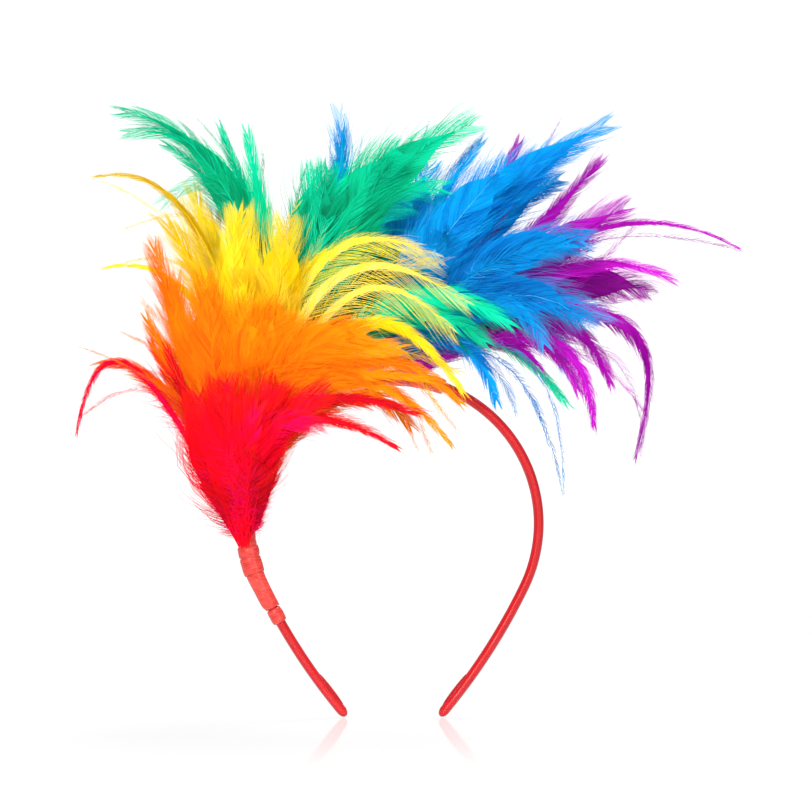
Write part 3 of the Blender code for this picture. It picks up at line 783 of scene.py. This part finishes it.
def plume(name, rows, dye, seat, layer, seed, wisps=(), arches=(), painted_shadows=(), down=90):
    """One plume: the feathers of its tables, smaller ones beside them, their cover and down."""
    chance = np.random.default_rng(seed)
    mesh = Mesh()

    def grow(row, **habit):
        feather(mesh, chance, seat, layer, row, **habit)

    for row in rows:
        quill = 0.93 if chance.uniform() < 0.25 else 0.75
        grow(row, barbs=BARBS, web=0.68 if row[6] > BROAD_FEATHER else 0.45, quill=quill)
    for i, row in enumerate(companions(chance, rows)):
        if i % 2 == 0:
            barbs = int(BARBS * 0.7)
            grow(row, barbs=barbs, web=0.55, quill=0.6, loose=0.15, shade=-0.05)
        else:
            barbs = int(BARBS * 0.36)
            grow(row, barbs=barbs, web=0, quill=0.5, loose=0.35, shade=0.02, longer=1.3)
    for row in wisps:
        grow(row, barbs=150, web=0, quill=0.25, loose=0.15, shade=-0.2)
    for row in arches:
        grow(
            row, barbs=180, web=0.7, quill=0.95, loose=0.04, shade=0.30, lower=2.6,
            clumping=0.22,
        )
    # Near-black feathers that stand as painted shadow.
    for row in painted_shadows:
        grow(row, barbs=420, web=0.75, quill=0.1, loose=0.10, shade=-0.6)
    collar(mesh, chance, seat, layer, rows)
    fluff(mesh, chance, seat, layer, rows, down)
    for points in mesh.points:
        over = np.maximum(np.abs(points[:, 1]) - DEPTH_FREE, 0)
        held = DEPTH_FREE + DEPTH_ROOM * np.tanh(over / DEPTH_ROOM)
        points[:, 1] = np.where(over > 0, np.sign(points[:, 1]) * held, points[:, 1])
    mesh.piece(name + "_feathers", dye, name.replace("plume", "feather"), name)


RED_WISPS = (
    (-0.21, 0.405, -0.48, 0.35, -0.4, 0, 0.22),
    (-0.115, 0.305, -0.29, 0.57, -0.6, 0, 0.2),
    (-0.09, 0.295, -0.26, 0.54, -0.9, 0, 0.22),
    (-0.125, 0.385, -0.415, 0.5, -0.5, 0, 0.2),
    (0.12, 0.35, 0.42, 0.29, -1, 0.1, 0.3),
    (0.10, 0.305, 0.355, 0.315, -0.95, 0.1, 0.25),
    (0.13, 0.365, 0.52, 0.375, -1, 0, 0.3),
    (-0.095, 0.175, -0.195, 0.345, 0.9, 0.2, 0.5),
    (0.06, 0.27, 0.295, 0.345, -1, 0.2, 0.5),
)

red_dye = feather_dye(
    "red_dye", deep=(0.32, 0.0, 0.008), body=(0.95, 0.0, 0.010),
    bright=(1.0, 0.0, 0.04), tip=(1.0, 0.035, 0.0), quill=(1.0, 0.0, 0.20),
)
plume(
    "red_plume", RED_FEATHERS, red_dye, seat=0.1058, layer=1.0, seed=11,
    wisps=RED_WISPS, down=260,
)

# The orange plume
# The next bunch up, dyed orange, its long tips falling forward over the red one and its right-hand
# tips sweeping across the crown.

ORANGE_FEATHERS = (
    (0.07, 0.345, 0.345, 0.46, -1.05, 0.1, 1.05),
    (0.115, 0.325, 0.44, 0.42, -1.0, 0.1, 0.7),
    (0.145, 0.295, 0.52, 0.33, -1.0, 0.1, 0.4),
    (-0.03, 0.30, 0.10, 0.53, -1.05, 0.1, 1.1),
    (-0.165, 0.385, -0.27, 0.715, -0.6, 0, 0.8),
    (-0.16, 0.325, -0.25, 0.595, 0.55, 0, 0.7),
    (-0.26, 0.31, -0.435, 0.37, -0.2, 0, 0.55),
    (-0.185, 0.285, -0.3, 0.505, 0.2, 0, 0.6),
    (-0.08, 0.31, -0.12, 0.585, -0.95, 0.2, 1.05),
    (-0.005, 0.28, 0, 0.53, -1, 0.2, 1.1),
    (0.06, 0.275, 0.115, 0.51, -0.95, 0.2, 1.05),
    (0.13, 0.32, 0.285, 0.475, -1, 0, 1),
    (0.29, 0.37, 0.61, 0.255, -1, 0, 0.45),
    (0.27, 0.32, 0.585, 0.135, -0.9, 0.2, 0.3),
    (-0.03, 0.295, -0.055, 0.58, 1, 0.3, 1.1),
    (0.045, 0.295, 0.1, 0.555, 1, 0.3, 1.05),
    (0.245, 0.27, 0.465, 0.18, 0.95, 0, 0.6),
)

ORANGE_WISPS = (
    (-0.205, 0.27, -0.49, 0.425, -0.5, 0, 0.16),
    (-0.135, 0.295, -0.38, 0.47, -0.3, 0, 0.2),
    (-0.14, 0.355, -0.29, 0.715, -0.4, 0, 0.3),
    (-0.145, 0.33, -0.26, 0.665, -0.2, 0, 0.25),
    (0.305, 0.36, 0.52, 0.12, -1, 0, 0.28),
    (0.305, 0.365, 0.595, 0.18, -1, 0.1, 0.3),
    (0.28, 0.345, 0.48, 0.13, -0.9, 0.1, 0.25),
    (0.195, 0.345, 0.415, 0.225, -1, 0.2, 0.3),
    (-0.115, 0.3, -0.3, 0.555, -0.8, 0.1, 0.35),
)

orange_dye = feather_dye(
    "orange_dye", deep=(0.60, 0.05, 0.0), body=(1.0, 0.25, 0.0),
    bright=(1.0, 0.38, 0.0), tip=(1.0, 0.42, 0.0), quill=(1.0, 0.42, 0.02),
)
plume(
    "orange_plume", ORANGE_FEATHERS, orange_dye, seat=0.0855, layer=0.82, seed=12,
    wisps=ORANGE_WISPS,
)

# The yellow plume
# Dyed yellow. Its longest feathers arch to the right over the green ones and show their pale shafts
# with the barbs parted in fine strands below them.

YELLOW_FEATHERS = (
    (-0.205, 0.635, -0.505, 0.775, -0.25, 0, 0.3),
    (-0.225, 0.435, -0.485, 0.515, 0.3, 0, 0.24),
    (-0.14, 0.375, -0.285, 0.65, -0.6, 0, 0.75),
    (-0.12, 0.415, -0.22, 0.75, 0.6, 0, 0.9),
    (-0.05, 0.355, -0.08, 0.68, -0.95, 0.3, 1.05),
    (0.025, 0.34, 0.06, 0.65, -1, 0.3, 1.05),
    (0.27, 0.36, 0.565, 0.155, -1, 0, 0.35),
    (-0.03, 0.355, -0.035, 0.685, 1, 0.3, 1.1),
    (0.165, 0.47, 0.41, 0.555, 1, 0.2, 0.95),
    (0.22, 0.31, 0.465, 0.3, 0.95, 0, 0.5),
)

YELLOW_ARCHES = (
    (0.16, 0.52, 0.5, 0.545, -1, 0.2, 0.42),
    (0.20, 0.475, 0.575, 0.415, -1.15, 0.3, 0.45),
    (0.12, 0.50, 0.44, 0.58, -0.9, 0.2, 0.40),
    (0.24, 0.43, 0.54, 0.33, -1.1, 0.2, 0.35),
)

YELLOW_WISPS = (
    (-0.15, 0.47, -0.47, 0.515, 0.1, 0, 0.18),
    (-0.14, 0.5, -0.495, 0.775, -0.2, 0, 0.2),
    (-0.095, 0.585, -0.43, 0.62, -0.1, 0, 0.2),
    (-0.03, 0.41, -0.245, 0.725, -0.8, 0.1, 0.4),
    (-0.065, 0.41, -0.34, 0.675, -0.5, 0.1, 0.35),
    (-0.035, 0.365, 0.09, 0.7, -0.9, 0.2, 0.4),
    (0.14, 0.395, 0.515, 0.535, -0.95, 0.3, 0.5),
    (0.24, 0.265, 0.555, 0.22, -1, 0.1, 0.35),
    (0.275, 0.305, 0.495, 0.105, -1, 0.1, 0.25),
)

yellow_dye = feather_dye(
    "yellow_dye", deep=(0.50, 0.27, 0.0), body=(1.0, 0.76, 0.0),
    bright=(1.0, 0.88, 0.06), tip=(1.0, 0.76, 0.10), quill=(1.0, 0.78, 0.26),
)
plume(
    "yellow_plume", YELLOW_FEATHERS, yellow_dye, seat=0.0647, layer=0.64, seed=13,
    wisps=YELLOW_WISPS, arches=YELLOW_ARCHES,
)

# The green plume
# Dyed emerald green, fanned from a long wisp on the left to a full crest on the right, with a few
# tips falling under the yellow arches.

GREEN_FEATHERS = (
    (-0.21, 0.64, -0.515, 0.86, -0.3, 0, 0.8),
    (-0.19, 0.535, -0.39, 0.77, 0.3, 0, 0.6),
    (-0.08, 0.42, -0.145, 0.805, -0.6, 0.2, 0.65),
    (-0.105, 0.45, -0.235, 0.83, 0.6, 0.2, 0.5),
    (0.15, 0.535, 0.505, 0.82, -0.95, 0.4, 1.1),
    (0.11, 0.495, 0.29, 0.75, -1, 0.6, 1.15),
    (0.025, 0.38, 0.09, 0.7, -0.9, 0.5, 1),
    (0.145, 0.41, 0.375, 0.61, 0.95, 0.4, 1.05),
    (0.29, 0.315, 0.61, 0.245, -1, 0.1, 0.6),
    (0.275, 0.27, 0.54, 0.195, -0.9, 0, 0.6),
    (0.405, 0.25, 0.78, 0.01, 0.9, 0.1, 0.45),
    (0.01, 0.38, 0.04, 0.71, 1, 0.6, 1),
)

# Near-black feathers under the yellow arches: painted shadow, where the arches shade the green
# ones.
GREEN_PAINTED_SHADOWS = (
    (0.20, 0.335, 0.43, 0.26, -0.6, 0, 1.0),
    (0.232, 0.33, 0.49, 0.19, -0.5, 0, 1.0),
    (0.24, 0.37, 0.54, 0.24, -0.5, 0, 0.9),
    (0.19, 0.38, 0.42, 0.38, -0.5, 0, 1.0),
    (0.14, 0.38, 0.28, 0.45, -0.5, 0, 0.9),
    (0.03, 0.33, 0.03, 0.52, -0.8, 0, 0.8),
)

GREEN_WISPS = (
    (-0.11, 0.585, -0.505, 0.86, -0.3, 0, 0.22),
    (-0.065, 0.465, -0.295, 0.845, -0.1, 0, 0.22),
    (-0.095, 0.405, -0.155, 0.815, -0.4, 0.1, 0.2),
    (-0.085, 0.375, -0.105, 0.75, 0.2, 0.1, 0.25),
    (-0.04, 0.365, 0.03, 0.715, -0.9, 0.3, 0.14),
    (0.12, 0.51, 0.49, 0.82, -0.9, 0.4, 0.45),
    (0.06, 0.47, 0.36, 0.795, -0.8, 0.4, 0.5),
    (0.335, 0.32, 0.675, 0.205, -0.95, 0.1, 0.3),
    (0.435, 0.22, 0.785, 0.01, -0.7, 0.1, 0.2),
)

green_dye = feather_dye(
    "green_dye", deep=(0.0, 0.022, 0.010), body=(0.0, 0.62, 0.32),
    bright=(0.0, 0.86, 0.50), tip=(0.0, 0.76, 0.50), quill=(0.02, 0.84, 0.54),
)
plume(
    "green_plume", GREEN_FEATHERS, green_dye, seat=0.0438, layer=0.46, seed=14,
    wisps=GREEN_WISPS, painted_shadows=GREEN_PAINTED_SHADOWS,
)

# The blue plume
# Dyed bright blue, the fullest bunch near the crown. Its tips fan up to the right, and a few thin
# ones hang down beside the hoop.

BLUE_FEATHERS = (
    (-0.005, 0.395, -0.005, 0.745, 0.6, 0.3, 0.7),
    (0.205, 0.42, 0.4, 0.705, -0.6, 0.4, 0.6),
    (0.365, 0.475, 0.755, 0.75, -0.8, 0.3, 1),
    (0.265, 0.395, 0.47, 0.635, -1, 0.7, 1.15),
    (0.395, 0.335, 0.695, 0.415, -1, 0.5, 1.05),
    (0.405, 0.25, 0.685, 0.19, -1, 0.6, 0.95),
    (0.4, 0.28, 0.645, 0.06, 1, 0.3, 0.8),
    (0.28, 0.15, 0.44, -0.045, -1, 0, 0.5),
    (0.13, 0.35, 0.25, 0.645, 1, 0.6, 1.1),
    (0.35, 0.32, 0.62, 0.395, 1, 0.6, 1.05),
    (0.38, 0.42, 0.63, 0.6, 1, 0.4, 0.85),
)

BLUE_WISPS = (
    (0.01, 0.38, 0, 0.735, -0.2, 0.3, 0.3),
    (-0.01, 0.365, -0.04, 0.71, 0.1, 0.3, 0.25),
    (-0.005, 0.37, 0.055, 0.715, 0.2, 0.3, 0.25),
    (0.12, 0.39, 0.25, 0.77, -0.3, 0.3, 0.2),
    (0.14, 0.4, 0.4, 0.71, -0.5, 0.4, 0.35),
    (0.33, 0.445, 0.765, 0.755, -0.6, 0.3, 0.35),
    (0.42, 0.095, 0.63, -0.32, -0.9, 0, 0.18),
    (0.48, 0.11, 0.63, -0.32, -0.9, 0, 0.14),
    (0.39, 0.105, 0.59, -0.18, -0.95, 0.1, 0.16),
    (0.33, 0.11, 0.495, -0.08, -1, 0.1, 0.3),
    (0.33, 0.305, 0.735, 0.415, -0.9, 0.5, 0.5),
    (0.355, 0.25, 0.71, 0.165, -1, 0.5, 0.45),
)

blue_dye = feather_dye(
    "blue_dye", deep=(0.0, 0.010, 0.17), body=(0.0, 0.27, 0.72),
    bright=(0.0, 0.52, 0.95), tip=(0.0, 0.46, 0.84), quill=(0.10, 0.62, 1.0),
)
plume(
    "blue_plume", BLUE_FEATHERS, blue_dye, seat=0.0219, layer=0.29, seed=15,
    wisps=BLUE_WISPS,
)

# The purple plume
# The last bunch, just past the crown, dyed purple. Its feathers reach furthest to the right, and
# two long ones curl down at their tips.

PURPLE_FEATHERS = (
    (0.525, 0.415, 0.99, 0.36, 0.3, 0, 0.24),
    (0.355, 0.31, 0.645, 0.49, -0.8, 0.3, 0.95),
    (0.33, 0.355, 0.585, 0.635, 0.9, 0.3, 0.5),
    (0.185, 0.38, 0.345, 0.685, 0.6, 0.3, 0.6),
    (0.445, 0.3, 0.785, 0.275, -0.6, 0.2, 0.55),
    (0.425, 0.245, 0.73, 0.24, 0.9, 0.9, 0.9),
    (0.61, 0.175, 0.665, -0.245, -0.5, 0.2, 0.4),
    (0.445, 0.195, 0.715, 0.06, 1, 0.6, 0.6),
    (0.405, 0.115, 0.55, -0.145, -1, 0.5, 0.35),
    (0.33, 0.125, 0.51, -0.04, 0.6, 0, 0.5),
    (0.23, 0.115, 0.39, 0.035, -0.9, 0, 0.4),
    (0.405, 0.165, 0.61, -0.03, 0.85, 0.3, 0.5),
)

PURPLE_WISPS = (
    (0.24, 0.37, 0.465, 0.755, -0.3, 0.2, 0.18),
    (0.28, 0.33, 0.585, 0.635, -0.2, 0.2, 0.16),
    (0.155, 0.35, 0.37, 0.66, -0.3, 0.3, 0.3),
    (0.465, 0.37, 0.99, 0.36, 0.2, 0, 0.2),
    (0.385, 0.315, 0.8, 0.275, -0.4, 0.2, 0.2),
    (0.365, 0.16, 0.745, 0.24, 0.5, 0.5, 0.3),
    (0.375, 0.18, 0.685, 0.45, 0.1, 0.3, 0.35),
    (0.54, 0.1, 0.685, -0.235, -0.4, 0.2, 0.3),
    (0.43, 0.1, 0.715, -0.12, 0.2, 0.2, 0.3),
    (0.385, 0.09, 0.55, -0.15, -0.9, 0.3, 0.3),
    (0.235, 0.11, 0.415, 0.01, -1, 0.1, 0.3),
)

purple_dye = feather_dye(
    "purple_dye", deep=(0.07, 0.0, 0.10), body=(0.46, 0.0, 0.46),
    bright=(0.74, 0.01, 0.72), tip=(0.62, 0.02, 0.60), quill=(0.72, 0.05, 0.70),
)
plume(
    "purple_plume", PURPLE_FEATHERS, purple_dye, seat=-0.0033, layer=0.13, seed=16,
    wisps=PURPLE_WISPS,
)

# The floor
# A plain white sheet just under the hoop's two tips. It gives off the white of the room, and its
# faint gloss mirrors the tips and fades out round them.

FLOOR_LEVEL = solid_box[0][2] - 0.0003
FLOOR_REACH = 0.5
FLOOR_GREY = 0.12
FLOOR_GLOW = 0.83
MIRROR_STRENGTH = 0.33
MIRROR_FADE = 1.9
MIRROR_BLUR = 0.06
ROOM_WHITE = 0.40
FLOOR_CORNERS = ((-1, -1), (1, -1), (1, 1), (-1, 1))
floor_mesh = bpy.data.meshes.new("floor")
floor_mesh.from_pydata(
    [(x * FLOOR_REACH, y * FLOOR_REACH, FLOOR_LEVEL) for x, y in FLOOR_CORNERS],
    [],
    [(0, 1, 2, 3)],
)
floor = bpy.data.objects.new("floor", floor_mesh)
bpy.context.scene.collection.objects.link(floor)
floor_white, surface, feed = finish(
    "floor_white",
    Roughness=0.9,
    Specular_IOR_Level=0.0,
    Base_Color=(FLOOR_GREY, FLOOR_GREY, FLOOR_GREY, 1),
    Emission_Color=(1.0, 1.0, 1.0, 1),
    Emission_Strength=FLOOR_GLOW,
)
mirror_white = (1 / ROOM_WHITE, 1 / ROOM_WHITE, 1 / ROOM_WHITE, 1)
mirror = surface.add("BsdfAnisotropic", {}, {"Color": mirror_white, "Roughness": MIRROR_BLUR})
spot = surface.add("TexCoord", {}, {}, 3)
level_spot = surface.add("VectorMath", {"operation": "MULTIPLY"}, {0: spot, 1: (1, 1, 0)})
away = surface.add("VectorMath", {"operation": "LENGTH"}, {0: level_spot}, 1)
gloss = surface.maths("MAXIMUM", MIRROR_STRENGTH - away * MIRROR_FADE, 0.0)
feed("Surface", surface.add("MixShader", {}, {0: gloss, 1: surface, 2: mirror}))
floor_mesh.materials.append(floor_white)

# The light
# A white room as for a catalogue picture, with three large soft lamps: one at the front left,
# a weak one at the front right and one above and behind.

SEEN_WHITE = 1.1
world = bpy.data.worlds.new("white_room")
bpy.context.scene.world = world
world.use_nodes = True
seen = Signal(world.node_tree, None).add("LightPath", {}, {}, 0)
whiteness = ROOM_WHITE + (SEEN_WHITE - ROOM_WHITE) * seen
backdrop = world.node_tree.nodes["Background"]
backdrop.inputs["Color"].default_value = (1, 1, 1, 1)
world.node_tree.links.new(whiteness.socket, backdrop.inputs["Strength"])

LAMPS = (
    ("key", (-0.45, -1.3, 0.6), 0.6, 26),
    ("fill", (0.9, -0.9, 0.2), 0.8, 6),
    ("top", (0.2, 0.5, 1.1), 0.7, 18),
)
for name, place, width, power in LAMPS:
    lamp_data = bpy.data.lights.new(name, "AREA")
    lamp_data.size = width
    lamp_data.energy = power
    lamp = bpy.data.objects.new(name, lamp_data)
    lamp.location = place
    lamp.rotation_euler = (-Vector(place)).to_track_quat("-Z", "Y").to_euler()
    bpy.context.scene.collection.objects.link(lamp)

# The camera
# In front of the hoop and a little above its middle, 1.6 metres away and looking down at it by
# two degrees.

PICTURE_WIDTH = 0.3496
SENSOR_WIDTH = 36
CAMERA_DISTANCE = 1.6
CAMERA_LIFT = math.radians(2)
CAMERA_AIM = Vector((0.0056, 0, -0.0099))
camera_data = bpy.data.cameras.new("camera")
camera_data.lens = SENSOR_WIDTH * CAMERA_DISTANCE / PICTURE_WIDTH
camera = bpy.data.objects.new("camera", camera_data)
bpy.context.scene.collection.objects.link(camera)
backward = Vector((0, -math.cos(CAMERA_LIFT), math.sin(CAMERA_LIFT)))
camera.location = CAMERA_AIM + backward * CAMERA_DISTANCE
camera.rotation_euler = (CAMERA_AIM - camera.location).to_track_quat("-Z", "Y").to_euler()
bpy.context.scene.camera = camera
bpy.context.scene.view_settings.view_transform = "Standard"
